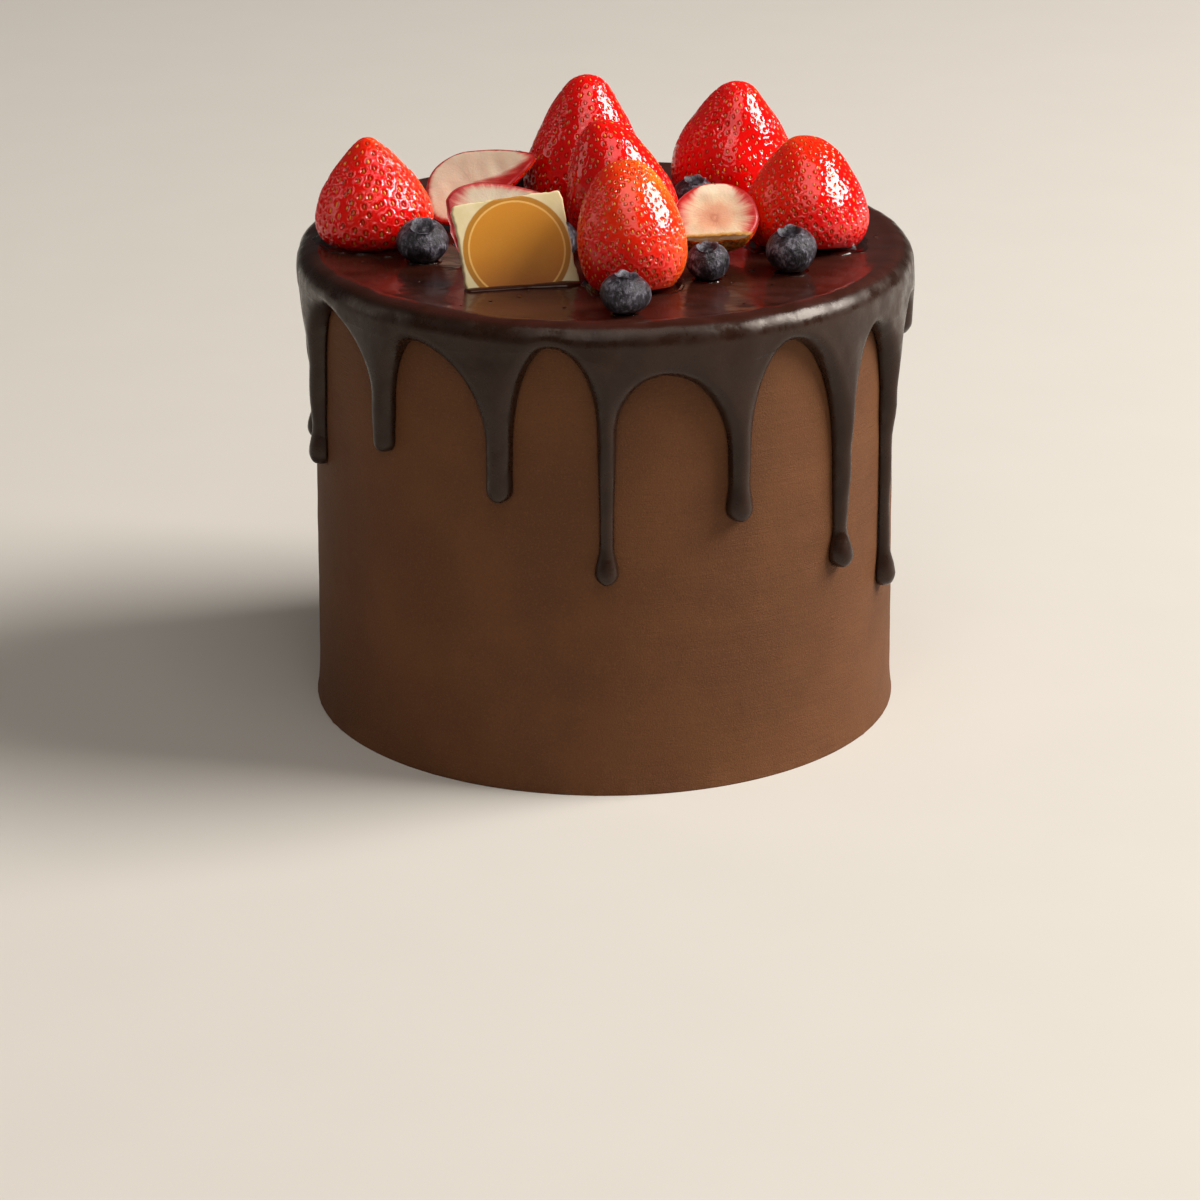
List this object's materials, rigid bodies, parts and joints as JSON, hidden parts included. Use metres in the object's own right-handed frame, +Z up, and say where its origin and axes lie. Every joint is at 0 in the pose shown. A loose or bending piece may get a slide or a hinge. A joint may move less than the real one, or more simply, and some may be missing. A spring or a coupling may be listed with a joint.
{
  "type": "chocolate drip cake",
  "caption": "Tall round chocolate cake with a smooth chocolate buttercream side, a dark drip glaze, fresh strawberries and blueberries, and a small white chocolate plaque.",
  "frame": {"origin": "centre of the flat base", "axes": "+Z up through the toppings; -Y is the front, the side that the plaque faces; +X is to the right as seen from the front"},
  "size_m": [0.1698, 0.169, 0.1693],
  "materials": {
    "buttercream": "smooth matte chocolate buttercream with fine scraper marks",
    "dark_glaze": "satin dark chocolate ganache",
    "strawberry_skin": "glossy syrup-glazed strawberry skin with seeds in pits",
    "strawberry_flesh": "moist cut strawberry flesh with a red rim",
    "blueberry_skin": "blue-black skin under a pale waxy bloom",
    "white_chocolate": "cream white chocolate with a printed gold-brown disc"
  },
  "bodies": {
    "root": {"cake_body": "buttercream", "chocolate_glaze": "dark_glaze", "strawberry_1": "strawberry_skin", "strawberry_2": "strawberry_skin", "strawberry_3": "strawberry_skin", "strawberry_4": "strawberry_skin", "strawberry_5": "strawberry_skin", "strawberry_6": "strawberry_skin", "strawberry_half_1": "strawberry_flesh", "strawberry_half_2": "strawberry_flesh", "strawberry_half_3": "strawberry_flesh", "blueberry_1": "blueberry_skin", "blueberry_2": "blueberry_skin", "blueberry_3": "blueberry_skin", "blueberry_4": "blueberry_skin", "blueberry_5": "blueberry_skin", "blueberry_6": "blueberry_skin", "blueberry_7": "blueberry_skin", "chocolate_plaque": "white_chocolate"}
  },
  "joints": []
}
